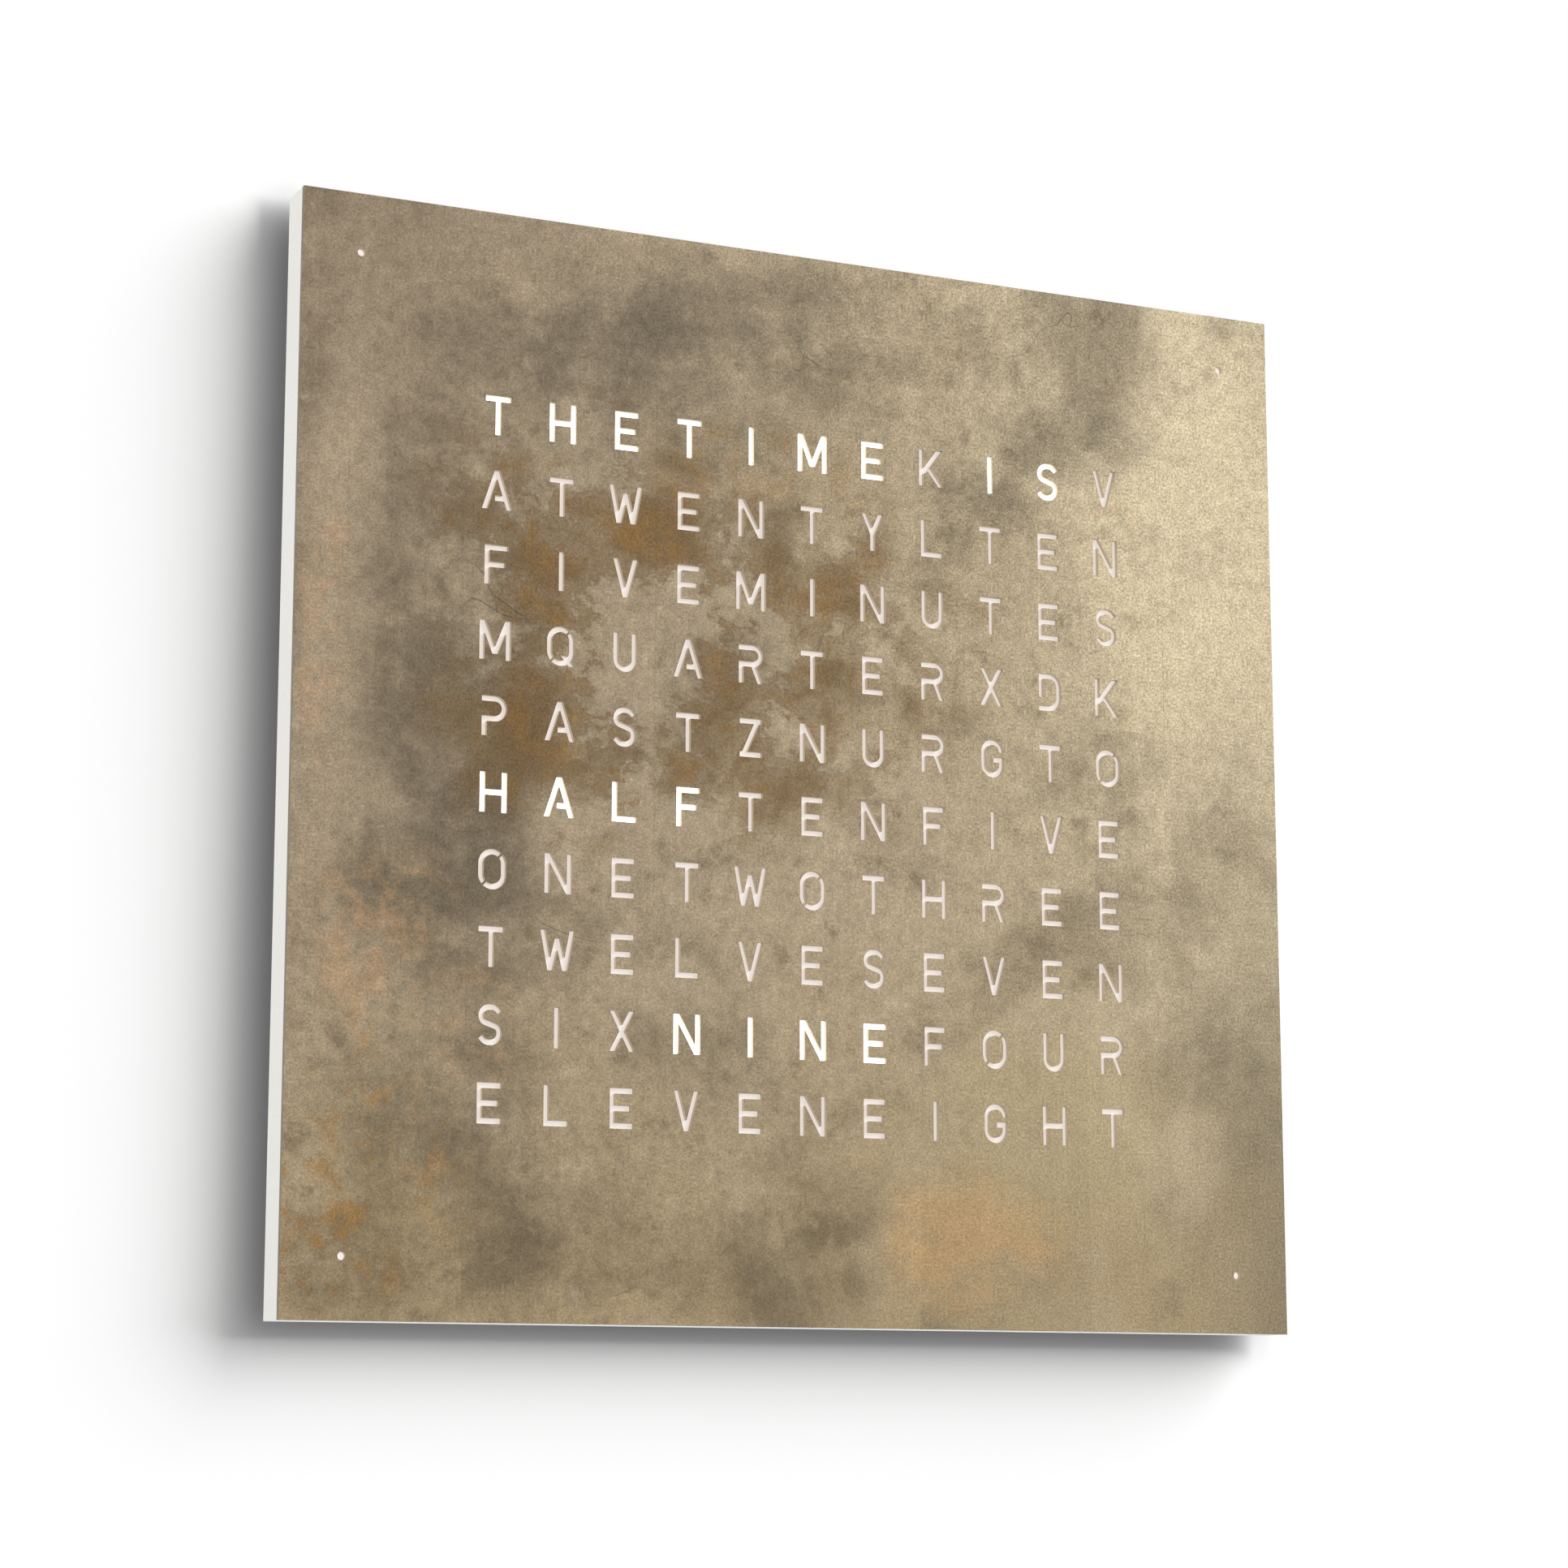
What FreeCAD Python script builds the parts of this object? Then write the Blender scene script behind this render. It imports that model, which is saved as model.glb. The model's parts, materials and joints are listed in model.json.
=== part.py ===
import FreeCAD, Part
import math
import os

# A square wall clock that tells the time in words. A stencil-cut metal cover is held by magnets
# on a flat lacquered body. Behind each letter is a light cell with its own lamp.
# Millimetres. The front faces -Y, +Z is up. The model is built about the middle of the face,
# and each piece is then moved so that the origin lies midway between the two hanging holes,
# on the wall's plane.

# Whole clock
side = 450.0
wall_gap = 1.0
body_depth = 16.8
seat_gap = 0.2
rail_width = 12.0
running_gap = 0.3
pilot_gap = 0.05

# Letter grid
columns = 11
rows = 10
face_margin = 70.0
cap_height = 16.3
slot_width = 2.3
bridge_width = 0.75
dot_inset = 24.6
dot_radius = 1.6

# Cover, diffuser and core
cover_thickness = 2.0
diffuser_thickness = 1.0
core_thickness = 6.0
side_web = 4.18
upper_web = 7.0
corner_cell_radius = 7.0

# Magnets
magnet_radius = 6.0
cover_magnet_thickness = 2.0
body_magnet_thickness = 3.0
magnet_air_gap = 0.3
magnet_inset_corner = 45.0
magnet_inset_side = 35.0

# Lamp boards
board_thickness = 1.6
row_board_height = 14.0
row_board_overhang = 3.0
lamp_size = 5.0
lamp_height = 1.6
lamp_lens_radius = 1.9
lamp_lens_depth = 0.3
corner_board_side = 20.0
connector_width = 8.0
connector_height = 8.0
connector_depth = 3.6
connector_inset = 8.0
bus_board_width = 12.0
bus_board_overlap = 8.0

# Screws
board_screw_shank = 1.0
board_screw_head = 1.9
board_screw_head_height = 1.1
board_screw_length = 4.5
panel_screw_shank = 1.25
panel_screw_head = 2.5
panel_screw_length = 9.0
panel_screw_inset = 54.0
panel_screw_clearance = 6.0
screw_head_drop = 0.1
screw_slot_depth = 0.5
screw_slot_width = 0.6

# Rear panel
panel_thickness = 1.5
rabbet_width = 6.0

# Controller board
controller_width = 100.0
controller_height = 44.0
controller_past_bus = 4.0
controller_low = 5.0
standoff_radius = 2.6
standoff_height = 2.0
standoff_inset = 4.5
chip_pin_length = 0.8
chip_pin_pitch = 1.27
cell_radius = 10.0
cell_thickness = 3.2
cell_holder_side = 24.0
cell_holder_wall = 0.4
cell_inset = 29.0
cell_rise = 24.0
crystal_radius = 1.2
crystal_length = 7.0
crystal_place = (38.0, 15.0)

# The chips: place from the board's lower left corner, width, height and depth
chips = [
    ((38.0, 26.0), 11.0, 11.0, 1.4),
    ((18.0, 31.0), 8.0, 4.0, 1.6),
    ((18.0, 19.0), 8.0, 4.0, 1.6),
    ((55.0, 35.0), 6.0, 4.0, 1.5),
]

# The capacitors: place from the board's lower left corner, and radius
capacitor_height = 4.0
capacitors = [((9.0, 30.0), 3.1), ((9.0, 18.0), 2.5)]

# Push buttons
button_count = 4
button_pitch = 14.0
button_across = 32.0
button_radius = 2.6
button_bore_gap = 0.2
button_flange_thickness = 1.0
button_stem_radius = 0.95
button_stem_gap = 0.08
button_travel = 0.6
button_back_distance = 6.0
switch_width = 6.0
switch_height = 6.0
switch_depth = 3.2
switch_entry = 1.5
switch_end_gap = 0.3

# Light sensor
window_radius = 1.8
window_across = 12.0
sensor_width = 4.0
sensor_height = 3.0
sensor_depth = 2.4

# Radio antenna
antenna_length = 60.0
antenna_radius = 3.0
antenna_inset = 23.0
antenna_rise = 23.0
coil_length = 30.0
coil_thickness = 0.8
holder_width = 6.0
holder_height = 9.0
holder_wall = 1.0

# Power inlet
inlet_x = -60.0
cup_length = 34.0
cup_width = 14.0
cup_wall = 1.2
cup_rise = 6.0
jack_width = 9.0
jack_length = 14.0
jack_depth = 7.8
jack_bore_radius = 2.85
jack_bore_length = 9.5
jack_pin_radius = 1.0
jack_pin_recess = 0.8

# Wires
wire_radius = 0.8
wire_bend = 4.0
corner_wire_rise = 5.0
socket_width = 6.0
socket_height = 5.0
lane_gap = 2.5
drop_gap = 6.0
side_step = 10.0

# Hangers
hang_side_inset = 75.0
hang_top_inset = 40.0
plate_width = 56.0
plate_height = 34.0
plate_thickness = 2.0
keyhole_entry_radius = 4.75
keyhole_slot_radius = 2.3
keyhole_drop = 9.0
keyhole_pocket_depth = 6.0
keyhole_pocket_margin = 1.0
hanger_screw_offset = 20.0

# Bumpers
bumper_radius = 7.0
bumper_inset = 24.0

# The words. Each row is one line of letters on the face.
words = [
    "THETIMEKISV",
    "ATWENTYLTEN",
    "FIVEMINUTES",
    "MQUARTERXDK",
    "PASTZNURGTO",
    "HALFTENFIVE",
    "ONETWOTHREE",
    "TWELVESEVEN",
    "SIXNINEFOUR",
    "ELEVENEIGHT",
]

half = side / 2
hang_rise = half - hang_top_inset
hang_spacing = side - 2 * hang_side_inset
column_pitch = (side - 2 * face_margin) / columns
row_pitch = (side - 2 * face_margin) / rows
cell_width = column_pitch - side_web
cell_height = row_pitch - upper_web
row_board_length = columns * column_pitch + 2 * row_board_overhang

# Planes along Y, from the wall to the front
panel_back = -wall_gap
panel_front = panel_back - panel_thickness
body_front = panel_back - body_depth
cover_back = body_front - seat_gap
cover_front = cover_back - cover_thickness
diffuser_back = body_front + diffuser_thickness
core_back = diffuser_back + core_thickness
board_back = core_back + board_thickness
bus_front = board_back + connector_depth
bus_back = bus_front + board_thickness
controller_front = core_back + standoff_height
controller_back = controller_front + board_thickness

inner = half - rail_width
bus_x = row_board_length / 2 - connector_inset
rabbet_edge = inner + rabbet_width
button_y = -button_back_distance
button_flange_radius = panel_front - button_y - running_gap
controller_bottom = -inner + controller_low
controller_top = controller_bottom + controller_height
controller_right = bus_x + bus_board_width / 2 + controller_past_bus
controller_left = controller_right - controller_width
window_x = controller_left + window_across
cup_bottom = -inner + cup_rise
cup_top = cup_bottom + cup_length
jack_top = cup_top + cup_wall + jack_length
jack_y = core_back + jack_depth / 2
antenna_z = -inner + antenna_rise
antenna_y = core_back + holder_wall + antenna_radius
wire_y = core_back + wire_radius
dot_place = half - dot_inset
antenna_left = -inner + antenna_inset
antenna_lane = -((rows - 1) / 2 * row_pitch + row_board_height / 2 + lane_gap)
power_lane = jack_top + wire_bend + wire_radius

part_origin = FreeCAD.Vector(0, 0, hang_rise)


def point(x, y, z):
    return FreeCAD.Vector(x, y, z)


def save(name, solids):
    """Writes one piece, or a group of alike pieces, about the part's own origin."""
    shape = solids if isinstance(solids, Part.Shape) else Part.makeCompound(solids)
    shape = shape.copy()
    shape.translate(-part_origin)
    shape.exportStep("parts/" + name + ".step")
    print(name, len(shape.Solids), round(shape.Volume, 1), shape.isValid())


def box(x, y, z):
    """A block between pairs of limits along each axis."""
    return Part.makeBox(x[1] - x[0], y[1] - y[0], z[1] - z[0], point(x[0], y[0], z[0]))


def block(x, z, width, height, front, back):
    """A block about a place on the face, between two planes."""
    return box((x - width / 2, x + width / 2), (front, back), (z - height / 2, z + height / 2))


def disc(radius, x, z, front, back):
    """A round piece whose axis runs front to back."""
    return Part.makeCylinder(radius, back - front, point(x, front, z), point(0, 1, 0))


def loop(corners):
    """A closed outline on the face's plane."""
    places = [point(x, 0, z) for x, z in corners]
    return Part.makePolygon(places + places[:1])


def rectangle(x, z, width, height):
    w = width / 2
    h = height / 2
    return loop([(x - w, z - h), (x + w, z - h), (x + w, z + h), (x - w, z + h)])


def circle(radius, x, z):
    return Part.Wire(Part.makeCircle(radius, point(x, 0, z), point(0, 1, 0)))


def sheet(outline, holes, front, back):
    """A flat piece with holes, between two planes."""
    face = Part.makeFace(Part.makeCompound([outline] + holes), "Part::FaceMakerBullseye")
    face.translate(point(0, front, 0))
    return face.extrude(point(0, back - front, 0))


def column_x(column):
    return (column - (columns - 1) / 2) * column_pitch


def row_z(row):
    return ((rows - 1) / 2 - row) * row_pitch


def screw(x, z, front, back, shank, head, head_height):
    """A pan screw driven towards the front, with its head at the back and a cross recess."""
    body = disc(shank, x, z, front, back)
    body = body.fuse(disc(head, x, z, back, back + head_height)).removeSplitter()
    top = back + head_height
    reach = head * 1.2
    across = block(x, z, reach, screw_slot_width, top - screw_slot_depth, top)
    along = block(x, z, screw_slot_width, reach, top - screw_slot_depth, top)
    return body.cut([across, along])


def wire_tube(radius, route):
    """A round wire along points, with an arc of one radius at each bend."""
    edges = []
    start = route[0]
    for before, corner, after in zip(route, route[1:], route[2:]):
        way_in = (corner - before).normalize()
        way_out = (after - corner).normalize()
        turn = way_in.getAngle(way_out)
        reach = wire_bend * math.tan(turn / 2)
        enter = corner - way_in * reach
        leave = corner + way_out * reach
        inside = (way_out - way_in).normalize()
        centre = corner + inside * (wire_bend / math.cos(turn / 2))
        middle = centre - inside * wire_bend
        edges.append(Part.LineSegment(start, enter).toShape())
        edges.append(Part.Arc(enter, middle, leave).toShape())
        start = leave
    edges.append(Part.LineSegment(start, route[-1]).toShape())
    path = Part.Wire(edges)
    section = Part.Wire(Part.makeCircle(radius, route[0], route[1] - route[0]))
    return path.makePipeShell([section], True, False)


# Letter shapes

letter_widths = {
    "A": 13.5, "D": 10.8, "E": 10.4, "F": 10.2, "G": 10.8, "H": 11.6, "I": 2.3, "K": 12.0,
    "L": 10.6, "M": 13.6, "N": 11.9, "O": 11.9, "P": 10.8, "Q": 11.9, "R": 11.2, "S": 9.9,
    "T": 10.9, "U": 10.4, "V": 11.6, "W": 15.4, "X": 11.2, "Y": 10.8, "Z": 10.2,
}
top_line = cap_height - slot_width / 2
low_line = slot_width / 2
mid_line = cap_height / 2
arm_step = 1.3
slope_inset = 1.4


def ring(r):
    """Both halves of a round-ended loop, before its bridges are put back."""
    left = [(0, top_line), (-r, top_line, r), (-r, low_line, r), (0, low_line)]
    return [left, [(-p[0],) + p[1:] for p in left]]


def bowl(h, r, waist):
    """The upper loop of a P or an R, which runs on into the lower half of its stem."""
    turn = (top_line - waist) / 2
    return [(-h, top_line), (r, top_line, turn), (r, waist, turn), (-r, waist), (-r, 0)]


def letter_strokes(letter, h, r):
    """Centre lines of a letter's strokes, as (across, up) or (across, up, corner radius).
    h is half the letter's width, r the distance of its stems' middle from its own middle."""
    s = h - slope_inset
    left_stem = [(-r, 0), (-r, cap_height)]
    right_stem = [(r, 0), (r, cap_height)]
    top_bar = [(-h, top_line), (h, top_line)]
    low_bar = [(-h, low_line), (h, low_line)]
    middle_arm = [(-r, mid_line), (h - arm_step, mid_line)]
    waist = 0.43 * cap_height
    fork = 0.45 * cap_height
    tip = 0.15 * cap_height
    spine = 0.51 * cap_height
    if letter == "A":
        bar = 0.29 * cap_height
        return [[(-s, 0), (0, cap_height)], [(s, 0), (0, cap_height)], [(-1, bar), (s - 1, bar)]]
    if letter == "D":
        turn = 4.4
        path = [(-r, 0.36 * cap_height), (-r, top_line), (r, top_line, turn), (r, low_line, turn)]
        return [path + [(-h, low_line)]]
    if letter == "E":
        return [[(h, top_line), (-r, top_line), (-r, low_line), (h, low_line)], middle_arm]
    if letter == "F":
        return [[(h, top_line), (-r, top_line), (-r, 0)], middle_arm]
    if letter == "G":
        hook = [(r, top_line - r), (r, top_line, r), (-r, top_line, r), (-r, low_line, r)]
        return [hook + [(r, low_line, r), (r, 0.47 * cap_height), (0.4, 0.47 * cap_height)]]
    if letter == "H":
        return [left_stem, right_stem, [(-r, mid_line), (r, mid_line)]]
    if letter == "I":
        return [[(0, 0), (0, cap_height)]]
    if letter == "K":
        arm = [(h - 2, cap_height), (0.6 - r, 0.33 * cap_height)]
        return [left_stem, arm, [(-1.5, 0.5 * cap_height), (s, 0)]]
    if letter == "L":
        return [[(-r, cap_height), (-r, low_line), (h, low_line)]]
    if letter == "M":
        falls = [[(side_sign * (r - 0.2), cap_height), (0, tip)] for side_sign in (-1, 1)]
        return [left_stem, right_stem] + falls
    if letter == "N":
        return [left_stem, right_stem, [(0.2 - r, cap_height), (r - 0.2, 0)]]
    if letter == "O":
        return ring(r)
    if letter == "P":
        return [bowl(h, r, waist)]
    if letter == "Q":
        return ring(r) + [[(1.3, 0.27 * cap_height), (h - 1, 0)]]
    if letter == "R":
        return [bowl(h, r, mid_line), [(0.9, mid_line), (h - slope_inset, 0)]]
    if letter == "S":
        upper = [(r + 0.3, 13.0), (2.0, top_line, 3.0), (-r, top_line, 3.5)]
        waist_turn = [(-r, spine + 1.3, 2.6), (r, spine - 1.3, 2.6)]
        return [upper + waist_turn + [(r, low_line, 3.5), (-2.0, low_line, 3.0), (-r - 0.3, 3.3)]]
    if letter == "T":
        return [top_bar, [(0, 0), (0, top_line)]]
    if letter == "U":
        return [[(-r, cap_height), (-r, low_line, r), (r, low_line, r), (r, cap_height)]]
    if letter == "V":
        return [[(-s, cap_height), (0, 0)], [(s, cap_height), (0, 0)]]
    if letter == "W":
        foot = s / 2
        outer = [[(-s, cap_height), (-foot, 0)], [(s, cap_height), (foot, 0)]]
        return outer + [[(0, 0.8 * cap_height), (-foot, 0)], [(0, 0.8 * cap_height), (foot, 0)]]
    if letter == "X":
        return [[(-s, cap_height), (s, 0)], [(s, cap_height), (-s, 0)]]
    if letter == "Y":
        arms = [[(-s, cap_height), (0, fork)], [(s, cap_height), (0, fork)]]
        return arms + [[(0, 0), (0, fork + slot_width / 2)]]
    return [top_bar, low_bar, [(s, cap_height), (-s, 0)]]


def edge_run(places, width, level):
    """The two sides of a stroke, each as a list of straight points and arc triples."""
    ends = list(zip(places, places[1:]))
    ways = [(point(b[0], 0, b[1]) - point(a[0], 0, a[1])).normalize() for a, b in ends]
    normals = [point(-way.z, 0, way.x) for way in ways]
    sides = []
    for sign in (1, -1):
        run = []
        for index, place in enumerate(places):
            here = point(place[0], 0, place[1])
            first = normals[max(index - 1, 0)]
            second = normals[min(index, len(ways) - 1)]
            shift = (first + second) * (sign * width / 2 / (1 + first.dot(second)))
            if level and len(places) == 2 and abs(ways[0].z) > 0.1:
                shift = shift - ways[0] * (shift.z / ways[0].z)
            if len(place) == 2:
                run.append([here + shift])
                continue
            turn = ways[index - 1].getAngle(ways[index])
            reach = place[2] * math.tan(turn / 2)
            left_turn = 1 if ways[index - 1].cross(ways[index]).y < 0 else -1
            radius = place[2] - sign * left_turn * width / 2
            enter = here - ways[index - 1] * reach + first * (sign * width / 2)
            leave = here + ways[index] * reach + second * (sign * width / 2)
            centre = here - ways[index - 1] * reach + first * (left_turn * place[2])
            outward = (here - centre).normalize()
            run.append([enter, centre + outward * radius, leave])
        sides.append(run)
    return sides


def stroke(places, width, level=True):
    """One stroke of a letter as a flat face. A lone slanted stroke ends level when asked."""
    left, right = edge_run(places, width, level)
    steps = left + [step[::-1] for step in reversed(right)]
    edges = []
    for step, following in zip(steps, steps[1:] + steps[:1]):
        if len(step) == 3:
            edges.append(Part.Arc(*step).toShape())
        if (following[0] - step[-1]).Length > 1e-6:
            edges.append(Part.LineSegment(step[-1], following[0]).toShape())
    return Part.Face(Part.Wire(edges))


def letter_wires(letter):
    """The outlines that are cut out of the cover for one letter, about its middle."""
    h = letter_widths[letter] / 2
    r = h - slot_width / 2
    faces = [stroke(places, slot_width) for places in letter_strokes(letter, h, r)]
    shape = faces[0]
    if len(faces) > 1:
        shape = shape.fuse(faces[1:])
    if letter in "OQ":
        reach = slot_width
        for sign in (1, -1):
            middle = (sign * r * math.sqrt(0.5), mid_line + sign * (mid_line - h + r * math.sqrt(0.5)))
            slant = [(middle[0] - reach, middle[1] - reach), (middle[0] + reach, middle[1] + reach)]
            shape = shape.cut(stroke(slant, bridge_width, False))
    shape = shape.removeSplitter()
    for face in shape.Faces:
        if len(face.Wires) > 1:
            print("loose island in", letter)
    wires = [face.OuterWire for face in shape.Faces]
    for wire in wires:
        wire.translate(point(0, 0, -mid_line))
    return wires


def front_cover():
    outlines = {letter: letter_wires(letter) for letter in sorted(set("".join(words)))}
    holes = []
    for row, word in enumerate(words):
        for column, letter in enumerate(word):
            for wire in outlines[letter]:
                hole = wire.copy()
                hole.translate(point(column_x(column), 0, row_z(row)))
                holes.append(hole)
    holes += [circle(dot_radius, x, z) for x, z in corner_places(dot_place)]
    return sheet(rectangle(0, 0, side, side), holes, cover_front, cover_back)


def corner_places(distance):
    return [(x, z) for x in (-distance, distance) for z in (-distance, distance)]


def magnet_places():
    near = half - magnet_inset_side
    sides = [(near, 0), (-near, 0), (0, near), (0, -near)]
    return corner_places(half - magnet_inset_corner) + sides


# Body

def rail(turn):
    """One of the four mitred rails, stepped at the back for the rear panel."""
    def mitred(outer, step, front, back):
        outline = loop([(-outer, -outer), (outer, -outer), (step, -step), (-step, -step)])
        return sheet(outline, [], front, back)
    shape = mitred(half, inner, body_front, panel_front)
    shape = shape.fuse(mitred(half, rabbet_edge, panel_front, panel_back)).removeSplitter()
    shape.rotate(point(0, 0, 0), point(0, 1, 0), turn)
    holes = [
        disc(panel_screw_shank + pilot_gap, x, z, panel_front - panel_screw_length, panel_front)
        for x, z in panel_screw_places()
    ]
    return shape.cut(holes)


def bottom_rail():
    shape = rail(0)
    bores = [
        Part.makeCylinder(button_radius + button_bore_gap, rail_width, point(x, button_y, -half))
        for x in button_places()
    ]
    bores.append(Part.makeCylinder(window_radius, rail_width, point(window_x, button_y, -half)))
    return shape.cut(bores)


def panel_screw_places():
    line = (inner + rabbet_edge) / 2
    near = controller_left - panel_screw_clearance
    far = line - panel_screw_inset
    along = [-far, -near, near, far]
    flat = [(x, z) for x in along for z in (-line, line)]
    return flat + [(x, z) for x in (-line, line) for z in along]


def diffuser_sheet():
    holes = [circle(magnet_radius + running_gap, x, z) for x, z in magnet_places()]
    return sheet(rectangle(0, 0, 2 * inner, 2 * inner), holes, body_front, diffuser_back)


def magnet_seat():
    """The plane on which the body's magnets lie."""
    return cover_back + cover_magnet_thickness + magnet_air_gap + body_magnet_thickness


def core_board():
    cells = [
        rectangle(column_x(column), row_z(row), cell_width, cell_height)
        for row in range(rows) for column in range(columns)
    ]
    cells += [circle(corner_cell_radius, x, z) for x, z in corner_places(dot_place)]
    shape = sheet(rectangle(0, 0, 2 * inner, 2 * inner), cells, diffuser_back, core_back)
    cuts = [
        disc(magnet_radius + running_gap, x, z, diffuser_back, magnet_seat())
        for x, z in magnet_places()
    ]
    radius = board_screw_shank + pilot_gap
    cuts += [
        disc(radius, x, z, core_back - board_screw_length, core_back)
        for x, z in board_screw_places() + corner_screw_places() + standoff_places()
    ]
    return shape.cut(cuts)


def cover_magnets():
    back = cover_back + cover_magnet_thickness
    return [disc(magnet_radius, x, z, cover_back, back) for x, z in magnet_places()]


def body_magnets():
    front = magnet_seat() - body_magnet_thickness
    return [disc(magnet_radius, x, z, front, magnet_seat()) for x, z in magnet_places()]


# Lamps

def board_screw_places():
    columns_held = (1.5, columns / 2 - 1, columns - 2.5)
    return [(column_x(column), row_z(row)) for row in range(rows) for column in columns_held]


def corner_screw_places():
    offset = corner_board_side / 2 - board_screw_head - running_gap
    return [
        (x - math.copysign(offset, x), z - math.copysign(offset, z))
        for x, z in corner_places(dot_place)
    ]


def screwed_board(outline, places):
    """A circuit board on the core's back, with holes for its screws."""
    holes = [circle(board_screw_shank + pilot_gap, x, z) for x, z in places]
    return sheet(outline, holes, core_back, board_back)


def lamp_row_board(row):
    outline = rectangle(0, row_z(row), row_board_length, row_board_height)
    return screwed_board(outline, [place for place in board_screw_places() if place[1] == row_z(row)])


def lamp(x, z):
    """A surface lamp that stands in its light cell, with a shallow round lens well."""
    front = core_back - lamp_height
    body = block(x, z, lamp_size, lamp_size, front, core_back)
    return body.cut(disc(lamp_lens_radius, x, z, front, front + lamp_lens_depth))


def letter_lamps():
    return [lamp(column_x(column), row_z(row)) for row in range(rows) for column in range(columns)]


def corner_boards():
    boards = []
    for place in corner_places(dot_place):
        outline = rectangle(place[0], place[1], corner_board_side, corner_board_side)
        near = [s for s in corner_screw_places() if s[0] * place[0] > 0 and s[1] * place[1] > 0]
        boards.append(screwed_board(outline, near))
    return boards


def board_screws():
    front = core_back - board_screw_length
    return [
        screw(x, z, front, board_back, board_screw_shank, board_screw_head, board_screw_head_height)
        for x, z in board_screw_places() + corner_screw_places()
    ]


def row_connectors():
    return [
        block(bus_x, row_z(row), connector_width, connector_height, board_back, bus_front)
        for row in range(rows)
    ]


def bus_board():
    top = row_z(0) + row_board_height / 2
    low = controller_top - bus_board_overlap
    x = (bus_x - bus_board_width / 2, bus_x + bus_board_width / 2)
    return box(x, (bus_front, bus_back), (low, top))


def bus_header():
    z = controller_top - bus_board_overlap / 2
    return block(bus_x, z, connector_width, bus_board_overlap - 2, controller_back, bus_front)


# Controller

def standoff_places():
    xs = (controller_left + standoff_inset, controller_right - standoff_inset)
    zs = (controller_bottom + standoff_inset, controller_top - standoff_inset)
    return [(xs[0], zs[0]), (xs[0], zs[1]), (xs[1], zs[0]), (bus_x - 2 * standoff_inset, zs[1])]


def controller_board():
    middle_x = (controller_left + controller_right) / 2
    middle_z = (controller_bottom + controller_top) / 2
    outline = rectangle(middle_x, middle_z, controller_width, controller_height)
    holes = [circle(board_screw_shank + pilot_gap, x, z) for x, z in standoff_places()]
    return sheet(outline, holes, controller_front, controller_back)


def controller_standoffs():
    hole = board_screw_shank + pilot_gap
    return [
        disc(standoff_radius, x, z, core_back, controller_front).cut(
            disc(hole, x, z, core_back, controller_front))
        for x, z in standoff_places()
    ]


def controller_screws():
    front = core_back - board_screw_length
    return [
        screw(x, z, front, controller_back, board_screw_shank, board_screw_head,
              board_screw_head_height)
        for x, z in standoff_places()
    ]


def chip(x, z, width, height, depth):
    """A plain chip with a row of flat pins along its upper and lower edges."""
    shape = block(x, z, width, height, controller_back, controller_back + depth)
    pins = int(width / chip_pin_pitch)
    pitch = width / pins
    feet = [
        block(x + (pin - (pins - 1) / 2) * pitch, z, pitch / 2, height + 2 * chip_pin_length,
              controller_back, controller_back + depth / 4)
        for pin in range(pins)
    ]
    return shape.fuse(feet).removeSplitter()


def controller_place(across, up):
    """A place on the controller board, measured from its lower left corner."""
    return controller_left + across, controller_bottom + up


def controller_chips():
    return [
        chip(*controller_place(*place), width, height, depth)
        for place, width, height, depth in chips
    ]


def smoothing_capacitors():
    return [
        disc(radius, *controller_place(*place), controller_back, controller_back + capacitor_height)
        for place, radius in capacitors
    ]


def clock_crystal():
    x, z = controller_place(*crystal_place)
    start = point(x - crystal_length / 2, controller_back + crystal_radius, z)
    return Part.makeCylinder(crystal_radius, crystal_length, start, point(1, 0, 0))


def coin_cell_place():
    return controller_right - cell_inset, controller_bottom + cell_rise


def coin_cell():
    front = controller_back + cell_holder_wall
    return disc(cell_radius, *coin_cell_place(), front, front + cell_thickness)


def coin_cell_holder():
    x, z = coin_cell_place()
    back = controller_back + cell_thickness
    shape = block(x, z, cell_holder_side, cell_holder_side, controller_back, back)
    seat = disc(cell_radius + pilot_gap, x, z, controller_back + cell_holder_wall, back)
    thumb_notch = block(x, z + cell_holder_side / 2, cell_radius, cell_radius / 2,
                        controller_back + cell_holder_wall, back)
    return shape.cut([seat, thumb_notch])


def light_sensor():
    z = controller_bottom + sensor_height / 2
    back = controller_back + sensor_depth
    return block(window_x, z, sensor_width, sensor_height, controller_back, back)


def light_window():
    return Part.makeCylinder(window_radius, rail_width, point(window_x, button_y, -half))


def wire_sockets():
    """Plug sockets between the core and the controller, at the ends of the wires."""
    left = (controller_left, controller_left + socket_width)
    right = (controller_right - socket_width, controller_right)
    depth = (core_back, controller_front)
    sockets = []
    for z in (power_socket_z(), antenna_socket_z(), corner_socket_z()):
        sockets.append(box(left, depth, (z - socket_height / 2, z + socket_height / 2)))
    z = corner_wire_rise - dot_place
    sockets.append(box(right, depth, (z - socket_height / 2, z + socket_height / 2)))
    return sockets


# Push buttons

def button_places():
    return [controller_left + button_across + index * button_pitch for index in range(button_count)]


def push_button(x):
    """A round cap in the bottom rail, with a retaining flange and a stem into its switch."""
    flange_low = -inner + running_gap
    flange_top = flange_low + button_flange_thickness
    tip = controller_bottom + switch_entry
    shape = Part.makeCylinder(button_radius, flange_low + half, point(x, button_y, -half))
    flange = Part.makeCylinder(
        button_flange_radius, button_flange_thickness, point(x, button_y, flange_low))
    stem = Part.makeCylinder(button_stem_radius, tip - flange_top, point(x, button_y, flange_top))
    return shape.fuse([flange, stem]).removeSplitter()


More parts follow.
